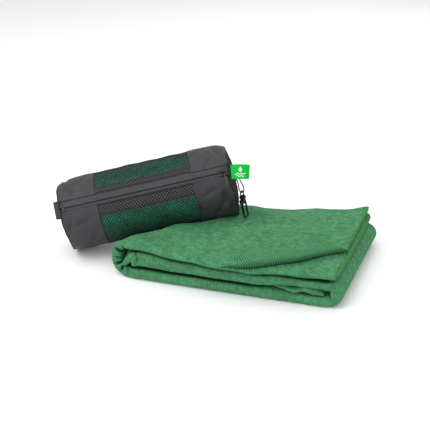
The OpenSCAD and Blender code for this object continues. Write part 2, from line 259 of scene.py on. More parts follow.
def stitched_material(name, colour, pitch):
    """Overlocked thread: slanted stitches along the hem's UV."""
    s = Shader(name)
    stitches = s.bands(s.place("UV"), pitch, "DIAGONAL", 0.6)
    fuzz = s.noise(s.place(), 1400, 2)
    s.paint(0.35, s.tones(stitches, colour, (0.1, 0.55), (0.7, 1.25)),
            s.tones(fuzz, colour, (0.3, 0.7), (0.7, 1.3)))
    s.bump(s.math("ADD", stitches, s.math("MULTIPLY", fuzz, 0.4)), 0.0006, 0.8)
    s.set(Roughness=0.85, Sheen_Weight=0.04, Specular_IOR_Level=0.12)
    return s.material


def nylon_material(name, colour, roughness=0.5, specular=0.32):
    """Closely woven nylon with a fine plain weave, soft sheen and a little unevenness."""
    s = Shader(name)
    cloth = s.place("UV")
    warp_threads = s.bands(cloth, 0.0007, "X", 0.3)
    weft_threads = s.bands(cloth, 0.0007, "Y", 0.3)
    weave = s.math("MULTIPLY", warp_threads, weft_threads)
    cloud = s.noise(s.place(), 28, 4)
    s.paint(0.25, s.tones(cloud, colour, (0.3, 0.82), (0.7, 1.22)),
            s.tones(weave, colour, (0.0, 0.6), (0.6, 1.35)))
    s.vary_roughness(cloud, roughness - 0.08, roughness + 0.08)
    s.bump(weave, 0.0002, 0.5)
    s.set(Sheen_Weight=0.02, Specular_IOR_Level=specular)
    return s.material


def yarn_material(name, colour, pitch, roughness=0.75):
    """Twisted yarn, for cord, webbing and bindings."""
    s = Shader(name)
    twist = s.bands(s.place(), pitch, "DIAGONAL", 1.0)
    fuzz = s.noise(s.place(), 1600, 2)
    s.paint(0.5, s.tones(twist, colour, (0.1, 0.5), (0.8, 1.6)),
            s.tones(fuzz, colour, (0.3, 0.6), (0.7, 1.5)))
    s.bump(s.math("ADD", twist, s.math("MULTIPLY", fuzz, 0.5)), 0.0003, 0.6)
    s.set(Roughness=roughness, Sheen_Weight=0.03, Specular_IOR_Level=0.25)
    return s.material


def mesh_material(name, colour, painted_light_near_zip):
    """Knitted mesh yarn, with painted light making it paler along the zip; the UV's second value is the
    distance from the zip.
    """
    s = Shader(name)
    round_from_zip = s.node("ShaderNodeSeparateXYZ")
    s.link(s.node("ShaderNodeTexCoord").outputs["UV"], round_from_zip.inputs[0])
    away = s.math("MULTIPLY", s.math("ABSOLUTE", round_from_zip.outputs["Y"], 0.0), 20)
    fuzz = s.noise(s.place(), 1500, 2)
    # painted light: the yarn is a paler grey near the zip
    s.paint(0.35, s.ramp(away, [(0.3, painted_light_near_zip), (0.48, colour)]),
            s.tones(fuzz, colour, (0.3, 0.4), (0.7, 2.2)))
    s.bump(fuzz, 0.0003, 0.5)
    s.set(Roughness=0.7, Specular_IOR_Level=0.3)
    return s.material


def metal_material(name, colour, roughness):
    """Plated metal with a faint cast grain and brighter rubbed spots."""
    s = Shader(name)
    grain = s.noise(s.place(), 900, 4)
    rub = s.noise(s.place(), 160, 3)
    s.paint(0.4, s.tones(grain, colour, (0.3, 0.8), (0.7, 1.2)),
            s.tones(rub, colour, (0.45, 1), (0.75, 2.4)))
    s.vary_roughness(grain, roughness - 0.08, roughness + 0.1)
    s.bump(grain, 0.0001, 0.3)
    s.set(Metallic=1.0)
    return s.material


def satin_material(name, colour, ribs=0.0005):
    """Woven satin ribbon."""
    s = Shader(name)
    threads = s.bands(s.place("UV"), ribs, "Y", 0.3)
    fuzz = s.noise(s.place(), 700, 2)
    s.paint(0.4, s.tones(threads, colour, (0.1, 0.8), (0.8, 1.1)),
            s.tones(fuzz, colour, (0.3, 0.85), (0.7, 1.12)))
    s.bump(threads, 0.0002, 0.4)
    s.set(Roughness=0.6, Specular_IOR_Level=0.1, Sheen_Weight=0.02)
    return s.material


TOWEL_GREEN = (0.057, 0.200, 0.090)
HEM_GREEN = (0.066, 0.275, 0.066)
CHARCOAL = (0.034, 0.0325, 0.038)
BLACK = (0.010, 0.010, 0.011)

towel_cloth = towel_material("towel_microfibre", TOWEL_GREEN, 0.0029, 0.9, 0.3)
corner_cloth = towel_material("towel_microfibre_ribbed", scaled(TOWEL_GREEN, 0.92), 0.0028, 1.1, 0.75,
                              ribbed_near_fold=True)
roll_cloth = towel_material("towel_rolled", (0.010, 0.345, 0.170), 0.0020, 0.8, 0.2)
hem_thread = stitched_material("towel_hem_thread", HEM_GREEN, 0.0016)
nylon = nylon_material("pouch_nylon", CHARCOAL)
tape_cloth = nylon_material("zip_tape_cloth", scaled(CHARCOAL, 1.25), 0.62)
# painted shade: the tapes' parts under the mesh are a darker copy of the tape nylon
shaded_hidden_tape = nylon_material("zip_tape_behind_mesh_shaded", scaled(CHARCOAL, 0.25), 0.8)
# painted shade: the end caps are a darker copy of the pouch nylon
shaded_cap_nylon = nylon_material("pouch_end_nylon_shaded", scaled(CHARCOAL, 0.3), 0.8, 0.1)
mesh_yarn = mesh_material("mesh_yarn", (0.013, 0.013, 0.015), (0.080, 0.077, 0.083))
webbing_yarn = yarn_material("webbing_yarn", (0.036, 0.035, 0.039), 0.0013)
binding_yarn = yarn_material("binding_yarn", BLACK, 0.0012)
cord_yarn = yarn_material("cord_yarn", (0.008, 0.008, 0.009), 0.0016)
coil_plastic = yarn_material("coil_plastic", (0.02, 0.02, 0.02), 0.0024, 0.4)
black_nickel = metal_material("black_nickel", (0.040, 0.039, 0.038), 0.26)
bright_steel = metal_material("bright_steel", (0.45, 0.45, 0.44), 0.3)
tag_satin = satin_material("tag_satin", (0.0, 0.44, 0.035))
tag_white = satin_material("tag_white", (0.85, 0.95, 0.86), 0.0004)


# ---- mesh helpers ----

def to_mesh(name, points, faces, material, uv=None, smooth=True):
    """A mesh object from points in millimetres; uv has one pair for each point, in metres."""
    mesh = bpy.data.meshes.new(name)
    mesh.from_pydata((np.reshape(points, (-1, 3)) * MM).tolist(), [], faces)
    mesh.update()
    if uv is not None:
        flat = np.asarray(uv, np.float32).reshape(-1, 2)
        corner = np.zeros(len(mesh.loops), np.int32)
        mesh.loops.foreach_get("vertex_index", corner)
        layer = mesh.uv_layers.new(name="cloth")
        layer.data.foreach_set("uv", flat[corner].ravel())
    if smooth:
        mesh.polygons.foreach_set("use_smooth", np.ones(len(mesh.polygons), bool))
    mesh.materials.append(material)
    piece = bpy.data.objects.new(name, mesh)
    scene.collection.objects.link(piece)
    return piece


def grid_faces(rows, columns, wrap=False, start=0, flip=False):
    """Quads of a grid of points; wrap joins the last column to the first."""
    i, j = np.meshgrid(np.arange(rows - 1), np.arange(columns if wrap else columns - 1), indexing="ij")
    k = (j + 1) % columns
    quads = np.stack([i * columns + j, i * columns + k, (i + 1) * columns + k, (i + 1) * columns + j], -1)
    quads = quads.reshape(-1, 4) + start
    return (quads[:, ::-1] if flip else quads).tolist()


def shell(name, outer, inner, material, uv, wrap=False):
    """A closed thin shell between two grids of points. outer faces the way rows x columns turns."""
    rows, columns = outer.shape[:2]
    count = rows * columns
    faces = grid_faces(rows, columns, wrap) + grid_faces(rows, columns, wrap, count, True)
    index = np.arange(count).reshape(rows, columns)
    rims = [(index[0], 1), (index[-1], -1)]
    if wrap:
        rims = [(np.append(rim, rim[0]), way) for rim, way in rims]
    else:
        rims += [(index[:, 0], -1), (index[:, -1], 1)]
    for rim, way in rims:
        faces += [[a, a + count, b + count, b][::way] for a, b in zip(rim.tolist(), rim[1:].tolist())]
    return to_mesh(name, np.stack([outer, inner]), faces, material, np.stack([uv, uv]))


def paint_fold_shade(piece, share):
    """Marks how deep in a fold each point lies, from 0 to 1, for the cloth's material to paint shade by."""
    share = np.asarray(share, np.float32).ravel()
    layer = piece.data.attributes.new("painted_fold_shade", "FLOAT", "POINT")
    layer.data.foreach_set("value", np.resize(share, len(piece.data.vertices)))


def cloth_uv(a, b):
    """UV in metres from two lengths on the cloth in millimetres."""
    return np.stack(np.broadcast_arrays(a, b), -1) * MM


def unit(v):
    return v / np.maximum(np.linalg.norm(v, axis=-1, keepdims=True), 1e-9)


def normals_of(grid):
    """Unit normals of a grid of points, from its rows and columns."""
    return unit(np.cross(np.gradient(grid, axis=1), np.gradient(grid, axis=0)))


def line_normals(line):
    """Unit normals of a flat line, on the left of its way."""
    tangent = np.gradient(line, axis=0)
    return unit(np.stack([-tangent[:, 1], tangent[:, 0]], -1))


def beside(line, lift):
    """The two places of a flat line moved to its left."""
    return (line[:, k, None] + line_normals(line)[:, k, None] * lift for k in (0, 1))


def lengths_along(path):
    return np.concatenate([[0], np.cumsum(np.linalg.norm(np.diff(path, axis=0), axis=1))])


def end_caps(rows, sides, start=0):
    """The two flat ends of a tube of rings."""
    last = start + rows * sides - 1
    return [[start + k for k in range(sides)], [last - k for k in range(sides)]]


def tube_along(name, path, radius, material, sides=10, flat=0.9, closed=False):
    """A round or flattened tube along points in millimetres, with UV along its length."""
    tangent = unit(np.roll(path, -1, 0) - np.roll(path, 1, 0) if closed else np.gradient(path, axis=0))
    side = np.cross(tangent, [0.0, 0.0, 1.0])
    side[np.linalg.norm(side, axis=1) < 1e-3] = [1.0, 0.0, 0.0]
    side = unit(side)
    up = np.cross(side, tangent)
    turn = np.linspace(0, 2 * np.pi, sides, endpoint=False)
    rings = (path[:, None] + radius * (np.cos(turn)[None, :, None] * side[:, None]
                                       + flat * np.sin(turn)[None, :, None] * up[:, None]))
    uv = cloth_uv(lengths_along(path)[:, None], turn * radius)
    rows = len(path)
    faces = grid_faces(rows, sides, True)
    if closed:
        last = (rows - 1) * sides
        faces += [[last + c, last + (c + 1) % sides, (c + 1) % sides, c] for c in range(sides)]
    else:
        faces += end_caps(rows, sides)
    return to_mesh(name, rings, faces, material, uv)


def ease(low, high, x):
    """Eases from 0 at low to 1 at high, either way round."""
    t = np.clip((x - low) / (high - low), 0, 1)
    return t * t * (3 - 2 * t)


def bell(x, middle, width):
    return np.exp(-((x - middle) / width) ** 2)


def signed_degrees(turn):
    return (np.degrees(turn) + 180) % 360 - 180


def curve_at(x, points):
    """Straight lines through points."""
    xs, ys = zip(*points)
    return np.interp(x, xs, ys)


def ripples(a, b, size, seed, count=7):
    """Smooth seeded relief, mostly between -1 and 1, with bumps about size apart."""
    rng = np.random.default_rng(seed)
    total = np.zeros(np.broadcast(a, b).shape)
    for _ in range(count):
        turn = rng.uniform(0, 2 * np.pi)
        k = 2 * np.pi / (size * rng.uniform(0.7, 1.7))
        total = total + np.sin(k * (a * np.cos(turn) + b * np.sin(turn)) + rng.uniform(0, 6.3))
    return total / math.sqrt(count)


def spline(points, count):
    """A smooth curve through a few points, with count points on it."""
    p = np.asarray(points, float)
    at = np.linspace(0, len(p) - 1, count)
    i = np.clip(at.astype(int), 0, len(p) - 2)
    t = (at - i)[:, None]
    a, b, c, d = p[np.maximum(i - 1, 0)], p[i], p[i + 1], p[np.minimum(i + 2, len(p) - 1)]
    return 0.5 * (2 * b + (c - a) * t + (2 * a - 5 * b + 4 * c - d) * t ** 2
                  + (3 * b - a - 3 * c + d) * t ** 3)


def add(piece, body, slot, *replaced):
    """Puts a piece on its body, in place of the CAD nodes it stands for; slot is not used."""
    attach(piece, body)
    if replaced:
        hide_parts(*replaced)


# ---- the hanging loop's cord ----

CORD_D = 1.5
# from the seam down through the clip's eye and back up to the seam, in the frame's own places
CORD_ROUTE = [
    (30.5, 5.5, 120.5), (32.5, 7, 120.5), (35.1, 8.9, 117), (38.1, 10.7, 110.5),
    (41, 11.7, 103.5), (44, 12.1, 97.5), (45.6, 11.8, 92.5), (45.2, 11.7, 89.4),
    (42.8, 11.7, 88), (40.2, 11.9, 89.4), (38.8, 11.9, 93), (38.1, 11.5, 98), (37, 10.3, 103.5),
    (35.7, 8.2, 109), (34.6, 6, 113.5), (33.5, 4.3, 116), (32.3, 3.2, 116.2),
]


def make_cord():
    route = spline(CORD_ROUTE, 65)
    data = bpy.data.curves.new("cord", "CURVE")
    data.dimensions = "3D"
    data.bevel_depth = CORD_D / 2 * MM
    data.bevel_resolution = 4
    data.use_fill_caps = True
    line = data.splines.new("POLY")
    line.points.add(len(route) - 1)
    for point, place in zip(line.points, route):
        point.co = (*(place * MM), 1)
    cord = bpy.data.objects.new("cord", data)
    scene.collection.objects.link(cord)
    data.materials.append(cord_yarn)
    add(cord, "hanging_loop", "cord", "cord_loop")


# ---- folded towel ----

LAYER = 3.3            # room that one layer takes up in the stack
BUNDLE = 4 * LAYER     # one pass of the strip, which is the cloth folded in four
CLOTH_T = 2.7          # the cloth's own thickness, with its nap
TOP, MIDDLE_TOP, INNER_LOW = 50.0, 36.0, 13.8  # heights of the passes
SEAM_LOW, SEAM_HIGH = 13.5, 36.4  # heights at which the passes meet before the cloth is warped
NOSE_R = (MIDDLE_TOP - INNER_LOW) / 2
HALF_D = 102.0
# along the towel: the middles of its left and right turns, and the ends of its strip
LEFT, RIGHT, TOP_END, INNER_END = -125.0, 132.0, 137.0, 127.0
# folds of the left turn: angle round the turn, width and depth
LEFT_FOLDS = [(112, 6, 6.0), (148, 7, 10.0), (178, 6, 5.0), (206, 7, 11.0), (238, 7, 9.0), (268, 6, 5.0)]
# the turned corner seen from above: the line it is folded over, its cut edge and its hem
FOLD_LINE = [(2, -112), (28, -108.5), (50, -100), (68, -89.5), (87, -76), (105, -59), (122, -43),
             (138, -30)]
CORNER_EDGE = [(2, -112), (12, -78), (22, -48), (30, -28), (40, -9)]
CORNER_HEM = [(40, -9), (63, -5), (86, -3), (97, -7.5), (107, -15), (122, -23), (138, -30)]
# the top pass and the others in plan, and the height at which the top pass begins
FRONT_TOP = [(-150, -103), (-115, -106), (-60, -110), (0, -112), (40, -109), (82, -101.5), (124, -94),
             (140, -93)]
BACK_TOP = [(-150, 92), (-20, 72), (0, 72), (37, 84), (69, 93), (105, 98), (138, 101)]
FRONT_LOW = [(-150, -102), (-124, -106), (0, -101), (126, -94), (150, -89)]
BACK_LOW = [(-150, 98), (0, 99), (150, 98)]
SPLIT = [(-150, 40), (-115, 40.5), (-90, 40), (-30, 37.5), (10, 35.5), (60, 36.5), (138, 37)]


def trace(at, runs):
    """Follows straight runs and half turns, and looks up the lengths in at.

    A straight run is (start, end, level). A half turn is (middle, its level, radius, first angle,
    last angle). The normal points to the left of the way. Gives the places, the levels, the two
    parts of the normal, and the lengths at which the runs begin and end.
    """
    place, level, side, lift = (np.zeros_like(at) for _ in range(4))
    marks = [0.0]
    for run in runs:
        length = abs(run[1] - run[0]) if len(run) == 3 else math.pi * run[2]
        here = (at >= marks[-1] - 1e-6) & (at <= marks[-1] + length + 1e-6)
        share = np.clip((at[here] - marks[-1]) / length, 0, 1)
        if len(run) == 3:
            first, last, height = run
            place[here], level[here] = first + (last - first) * share, height
            side[here], lift[here] = 0, np.sign(last - first)
        else:
            middle, height, radius, first, last = run
            turn = np.radians(first + (last - first) * share)
            out = np.sign(first - last)
            place[here], level[here] = middle + radius * np.cos(turn), height + radius * np.sin(turn)
            side[here], lift[here] = out * np.cos(turn), out * np.sin(turn)
        marks.append(marks[-1] + length)
    return place, level, side, lift, np.array(marks)


# the whole strip, from the top's free end round to the innermost pass, in X and Z
STRIP_RUNS = [(TOP_END, LEFT, TOP), (LEFT, TOP / 2, TOP / 2, 90, 270), (LEFT, RIGHT, 0.0),
              (RIGHT, MIDDLE_TOP / 2, MIDDLE_TOP / 2, -90, 90), (RIGHT, LEFT, MIDDLE_TOP),
              (LEFT, MIDDLE_TOP - NOSE_R, NOSE_R, 90, 270), (LEFT, INNER_END, INNER_LOW)]
STRIP_SHARES = np.array([1, 1, 1, 1, 1, 0.8, 0.63])  # how thick each run is, of the full thickness
# one cloth folded in four across the strip, in Y and depth under the strip's outer line
FRONT, BACK = -HALF_D + BUNDLE / 2, HALF_D - LAYER
CLOTH_RUNS = [(HALF_D, FRONT, LAYER / 2), (FRONT, BUNDLE / 2, 1.5 * LAYER, -90, -270),
              (FRONT, BACK, 3.5 * LAYER), (BACK, 3 * LAYER, LAYER / 2, 90, -90),
              (BACK, FRONT, 2.5 * LAYER), (FRONT, BUNDLE / 2, LAYER / 2, 90, 270),
              (FRONT, HALF_D, 1.5 * LAYER)]
STRIP_MARKS = trace(np.zeros(1), STRIP_RUNS)[-1]
CLOTH_MARKS = trace(np.zeros(1), CLOTH_RUNS)[-1]
TIP = 9.0              # length over which the strip's inner end thins out


def strip(u):
    """The strip's outer line at a length along it: place in X and Z, inward normal, thickness share."""
    x, z, nx, nz, marks = trace(u, STRIP_RUNS)
    share = STRIP_SHARES[np.searchsorted(marks[1:-1] - 1e-6, u, side="right")]
    tip = np.clip((marks[-1] - u) / TIP, 0, 1)
    share = share * np.where(u > marks[-1] - TIP, 0.25 + 0.75 * np.sqrt(1 - (1 - tip) ** 2), 1)
    return x, z, nx, nz, share


def rest_height(x, y):
    """Height of the stack's top: 50 in the open, lower where the pouch lies on it."""
    x, y = x - (POUCH_AT[0] - TOWEL_X), y - POUCH_AT[1]
    cos, sin, slope = POUCH_X / np.linalg.norm(POUCH_X[:2])
    along, side = x * cos + y * sin, y * cos - x * sin
    radius = POUCH_R + 0.7
    belly = POUCH_AT[2] + along * slope - np.sqrt(np.maximum(radius ** 2 - side ** 2, 0)) / 0.98
    belly = np.where(np.abs(side) < radius - 0.5, belly, 200.0)
    crest = 79.6 - 0.43 * (along - 66.6)
    front = TOP - 0.6 * np.maximum(0, crest + side)
    behind = TOP - 0.45 * np.maximum(0, np.maximum(crest, 34) * 0.95 - side)
    ramp = np.where(side < 0, front, behind)
    ramp = np.maximum(TOP + (ramp - TOP) * ease(POUCH_L + 14, POUCH_L - 6, along), 17)
    return np.where(along < POUCH_L + 3, np.minimum(ramp, belly), ramp)


def crease_left_turn(x, y, z):
    """Folds that run out from the middle of the left turn, deepest on its front."""
    reach = np.hypot(x - LEFT, z - TOP / 2)
    turn = np.degrees(np.arctan2(z - TOP / 2, x - LEFT)) % 360
    fold = 0
    for at, width, deep in LEFT_FOLDS:
        fold = fold + deep * np.exp(-np.abs(turn - at - 0.5 * (reach - 18)) / width)
    fold = fold * ease(11.3, 11.9, reach) * ease(-104, -114, x) * ease(-64, -96, y) \
        * (0.05 + 0.95 * ease(25, 16, reach))
    inside = ease(11.8, 11.2, reach)
    lump = 2.6 * bell(x - 1.1 * z, -135, 2.6) - 1.8 * bell(x, -118, 7) \
        + 1.6 * bell(x + 0.7 * z, -110.5, 2.4) + 0.8 * ripples(x, z, 12, 8)
    lump = lump * inside * ease(-88, -112, x) * ease(-80, -99, y)
    x = x - 1.6 * ease(20, 25, reach) * ease(-125, -135, x) * ease(26, 8, z)
    x = x + 8.5 * inside * ease(-96, -124, x) * ease(-70, -97, y) * ease(20, 34, z)
    return x, fold, lump


def front_shade(x, y, z, fold):
    """How much painted shade a point gets, from how deep in the front's grooves and creases it lies."""
    overhung = (1.9 - 0.6 * ease(40, 80, x)) * ease(-100, -50, x) * ease(28, 32, z)
    inset = ease(-100.5 - overhung, -96.5 - 1.4 * overhung, y) * ease(-60, -85, y)
    groove = np.maximum(np.exp(-((z - SEAM_HIGH) / (3.0 + 0.3 * overhung)) ** 4),
                        np.exp(-((z - 13.6) / 2.4) ** 4))
    groove = groove * (1 - 0.8 * ease(20, 60, x) * ease(30, 25, z))
    return np.maximum(inset * groove * ease(-150, -135, x) * ease(142, 128, x), 0.8 * ease(2.0, 6.0, fold))


def pinch_right_turn(x, y, z):
    """Draws the front of the right turn in towards its middle."""
    reach, turn = np.hypot(x - RIGHT, z - MIDDLE_TOP / 2), np.arctan2(z - MIDDLE_TOP / 2, x - RIGHT)
    pinch = ease(13.0, 4.0, reach) * (2.6 + 1.4 * np.sin(3 * turn + 1.2)) \
        * ease(-60, -90, y) * ease(RIGHT - 8, RIGHT + 1, x)
    return x - pinch * np.cos(turn), z - pinch * np.sin(turn)


def close_passes(x, y, z, split, inner_share):
    """The outer passes close over the thin one at the front, and part at a height of their own."""
    closed = ease(-76, -94, y) * ease(98, 40, x) * ease(-150, -128, x)
    z = z + (np.interp(z, [0, 13.2, 22.6, 36, 50], [0, 15.8, 16.6, 36, 50]) - z) * closed
    wave = ease(-60, -90, y) * inner_share
    z = z + (0.8 * np.sin(x / 7.5) + 0.5 * np.sin(x / 3.9 + 1)) * wave * (1 + 1.2 * ease(50, 90, x))
    between = SEAM_LOW + (z - SEAM_LOW) * (split - SEAM_LOW) / (SEAM_HIGH - SEAM_LOW)
    above = split + (z - SEAM_HIGH) * (TOP - split) / (TOP - SEAM_HIGH)
    return np.where(z <= SEAM_LOW, z, np.where(z <= SEAM_HIGH, between, above))


def turn_in_plan(x, y, z, split):
    """The passes lie turned a little against each other; also gives how far a point is in the top one."""
    front_low, back_low = curve_at(x, FRONT_LOW), curve_at(x, BACK_LOW)
    sliding = ease(-128, -98, x)
    h = ease(30, 40, z) * (1 - sliding) + ease(split - 0.6, split + 0.4, z) * sliding
    front = front_low + (curve_at(x, FRONT_TOP) - front_low) * h
    back = back_low + (curve_at(x, BACK_TOP) - back_low) * h
    y = front + (y + HALF_D) / (2 * HALF_D) * (back - front)
    return x + 3.4 * (y / 85) * ease(60, 150, x) * (1 - h), y, h


def part_top_layers(x, y, z, split, top_share):
    """The upper pair of layers is turned back in front of the fold, and its right end curls up."""
    pair_top = (split + TOP) / 2
    turned = ease(-3.5, -0.5, curve_at(x, FOLD_LINE) - y) * ease(-2, 6, x) * top_share
    z = z - turned * np.maximum(0, z - pair_top) * 0.9
    x = x - 4 * turned * ease(0, 2, z - pair_top + 0.4) * ease(120, 136, x)
    near_end = ease(104, 140, x) * top_share
    upper = ease(pair_top - 0.6, pair_top + 0.6, z) * (1 - turned)
    x = x + near_end * (curve_at(y, [(-33, -1), (46, 1.5), (101, 3)]) * (0.4 + 0.6 * upper)
                        + curve_at(y, [(-95, 0.5), (-30, 4), (40, 6)]) * (1 - upper) * (TOP - z) / 12)
    return x, z + near_end * upper * (1.8 + 1.6 * ease(20, 100, y))


def settle(x, y, z, h):
    """The back sags, the pouch presses a hollow, and long shallow creases cross the top."""
    high = np.clip(z / TOP, 0, 1)
    sag = curve_at(x, [(-150, 8), (-20, 11), (40, 10), (105, 5), (136, 0)]) * ease(30, 95, y) * high
    relief = 1.1 * ripples(x, y, 60, 3) + 0.45 * ripples(x, y, 22, 4)
    z = z * np.clip(rest_height(x, y) / TOP, 0.2, 1) - sag + relief * high * 0.8
    z = z * (1 - 0.14 * ease(40, 98, y) * ease(118, 145, x) * (1 - h))
    crease = (y - curve_at(x, [(-60, -130), (-15, -70), (12, -7), (49, 29), (90, 46), (150, 60)])) \
        * curve_at(x, [(-15, 0.4), (12, 0.5), (35, 0.75), (70, 0.92)])
    ridge = 1.5 * bell(crease, 0, 3.6) - 2.0 * bell(crease, 4.5, 3.0)
    return z + ridge * ease(-25, 0, x) * ease(125, 60, x) * h


def warp(p, top_share, inner_share):
    """Moves ideal towel points to where the cloth really lies. The shares are 1 in their passes."""
    x, fold, lump = crease_left_turn(*p.T)
    y, z = p.T[1:]
    painted_shade = front_shade(x, y, z, fold)
    x, z = pinch_right_turn(x, y, z)
    split = curve_at(x, SPLIT)
    z = close_passes(x, y, z, split, inner_share.T)
    x, y, h = turn_in_plan(x, y, z, split)
    x, z = part_top_layers(x, y, z, split, top_share.T)
    z = settle(x, y, z, h)
    # the fourth value is painted shade for the cloth's colour
    return np.stack([x + TOWEL_X, y + fold + lump, np.maximum(z, 0.15), painted_shade]).T


def lay(u, v, lift):
    """Points of the folded cloth: u along the strip, v across the cloth, lift off its middle."""
    x, z, nx, nz, share = strip(u)
    y, depth, ny, nd, _ = trace(v, CLOTH_RUNS)
    deep = (depth + nd * lift) * share[:, None]
    px, pz = x[:, None] + nx[:, None] * deep, z[:, None] + nz[:, None] * deep
    py = y + ny * lift + 0 * px
    # the passes end a little ragged at the front, and the innermost one lies further back
    inner_share = ease(STRIP_MARKS[-2] - 16, STRIP_MARKS[-2] + 2, u)[:, None]
    set_back = inner_share * curve_at(px, [(-130, 22), (40, 15), (72, 5), (110, 1), (130, 4)])
    py = py + set_back * ease(-20, -HALF_D, py)
    top_share = ease(STRIP_MARKS[1] + 6, STRIP_MARKS[1] - 2, u)[:, None]
    return warp(np.stack([px, py, pz], -1), top_share, inner_share)


def steps(edges, counts):
    """A run of lengths with its own step in each stretch."""
    parts = [np.linspace(a, b, n, endpoint=False) for a, b, n in zip(edges, edges[1:], counts)]
    return np.concatenate(parts + [[edges[-1]]])


def make_folded_towel():
    u = steps(STRIP_MARKS, [72, 52, 62, 30, 62, 24, 60])
    v = steps(CLOTH_MARKS, [80, 14, 26, 5, 26, 5, 26])
    outer, inner = lay(u, v, -CLOTH_T / 2), lay(u, v, CLOTH_T / 2)
    sheet = shell("towel_sheet", outer[..., :3], inner[..., :3], towel_cloth, cloth_uv(u[:, None], v))
    # painted shade in the front's grooves and the left turn's creases
    paint_fold_shade(sheet, np.stack([outer[..., 3], inner[..., 3]]))
    add(sheet, "towel", "towel_cloth", "folded_towel")
    return sheet


def hem_strip(name, u, v, radius, lift, *replaced):
    """A rolled hem: a flattened tube whose middle follows the cloth's edge."""
    middle = lay(u, v, lift)[..., :3]
    path = middle[:, 0] if len(v) == 1 else middle[0]
    hem = tube_along(name, path, radius, hem_thread)
    add(hem, "towel", "towel_hem", *replaced)
    return hem


def make_towel_hems():
    """The end hems of the four layers, and the two free long edges at the back."""
    turned = HALF_D + 31  # length of the upper two layers' end that the turned corner leaves
    first, last = CLOTH_MARKS[[0, -1]]
    rows = [("first", first + 1, turned, 110, ["end_hem_upper"]),
            ("fourth", CLOTH_MARKS[2] + 1, CLOTH_MARKS[3] - 1, 130, ["end_hem_lower"]),
            ("third", CLOTH_MARKS[4] + 1, CLOTH_MARKS[5] - 1, 130, []),
            ("second", last - turned, last - 1, 110, [])]
    pieces = [hem_strip("hem_end_" + name, np.array([0.8]), np.linspace(low, high, count), 1.5, 0.0, *nodes)
              for name, low, high, count, nodes in rows]
    along = np.linspace(2, STRIP_MARKS[-1] - 2, 500)
    pieces.append(hem_strip("hem_side_outer", along, np.array([first + 1.2]), 1.4, -0.4, "side_hem"))
    pieces.append(hem_strip("hem_side_inner", along, np.array([last - 1.2]), 1.4, 0.0))
    return pieces


CORNER_CURL = 4.6      # radius of the turned corner's fold
CORNER_SEAM = 4.5      # length round the fold at which the corner's ribs and painted shade begin
CORNER_T = 1.2


def corner_ends():
    """Each line of the turned corner: its share of the fold, and its ends in the towel's X and Y."""
    far = np.concatenate([spline(CORNER_EDGE, 90), spline(CORNER_HEM, 132)[1:]])
    t = np.linspace(0.01, 0.985, 360)
    at = np.linspace(0, 1, len(far))
    near, other = (np.stack([np.interp(t, at, line[:, k]) for k in (0, 1)], -1)
                   for line in (spline(FOLD_LINE, len(far)), far))
    return t, near, other


def make_turned_corner():
    """The upper two layers, rolled over their fold line and laid back on the top."""
    t, near, other = corner_ends()
    under = np.radians(np.linspace(-80, 90, 16))
    share = np.linspace(0, 1, 46)[1:]
    width = np.linalg.norm(other - near, axis=1)[:, None]
    inward = (other - near) / width
    curl = CORNER_CURL * (0.25 + 0.75 * ease(0.0, 0.22, t))[:, None] * ease(0, 12, width)
    curl_off = curl * (1 - np.cos(under))
    edge_z = curve_at(near[:, :1], [(2, 43.0), (12, 44.5), (40, 46.5), (70, 48.6), (138, 48.6)])
    curl_z = edge_z + 0.9 * curl * np.sin(under)
    # past the curl the corner settles on the top, and rounds off towards its free edges
    flat_off = curl + (width - curl) * share
    off = np.concatenate([curl_off, flat_off], 1)
    xs, ys = (near[:, k, None] + inward[:, k, None] * off for k in (0, 1))
    x, y = xs[:, len(under):], ys[:, len(under):]
    tail = ease(0, 18, width - flat_off)
    left_share = ease(0.44, 0.36, t)[:, None]
    flat_z = TOP + 0.72 * ripples(x, y, 60, 3) + 3.4 * tail + 0.9 + 0.55 * (1 - left_share) \
        + 0.5 * ripples(x, y, 30, 9) * tail
    settle = ease(0, 14, flat_off - flat_off[:, :1])
    flat_z = curl_z[:, -1:] + (flat_z - curl_z[:, -1:]) * settle
    crest = np.stack([xs + TOWEL_X, ys, np.concatenate([curl_z, flat_z], 1)], -1)
    normal = normals_of(crest)
    normal = normal * np.sign(normal[..., 2:] + 1e-9)
    turned = np.concatenate([np.linspace(0, 1, len(under)), np.ones(len(share))])
    normal = np.where(turned[None, :, None] < 0.47, -normal, normal)
    arc = (under - under[0]) * CORNER_CURL
    lengths = np.concatenate([0 * curl_off + arc, arc[-1] + flat_off - flat_off[:, :1]], 1) - CORNER_SEAM
    along_fold = 0.738 * xs + 0.675 * ys
    corner = shell("towel_corner", crest, crest - normal * CORNER_T, corner_cloth,
                   cloth_uv(along_fold, np.maximum(lengths, 0)))
    # painted shade under the corner's fold, darkest on its underside and fading over the top
    paint_fold_shade(corner, np.interp(lengths, [-CORNER_SEAM, -1.0, 3.0, 13.0], [1.0, 0.8, 0.4, 0.0]))
    add(corner, "towel", "towel_cloth", "turned_corner")
    path = spline([(a, b, 0) for a, b in CORNER_HEM], 120)
    path[:, 2] = TOP + 0.1 + 1.2 * ease(44, 64, path[:, 0]) + 0.72 * ripples(*path[:, :2].T, 60, 3)
    path[:, 0] += TOWEL_X
    hem = tube_along("hem_corner", path, 1.6, hem_thread)
    add(hem, "towel", "towel_hem", "end_hem_corner")
    return corner, hem


# ---- pouch ----

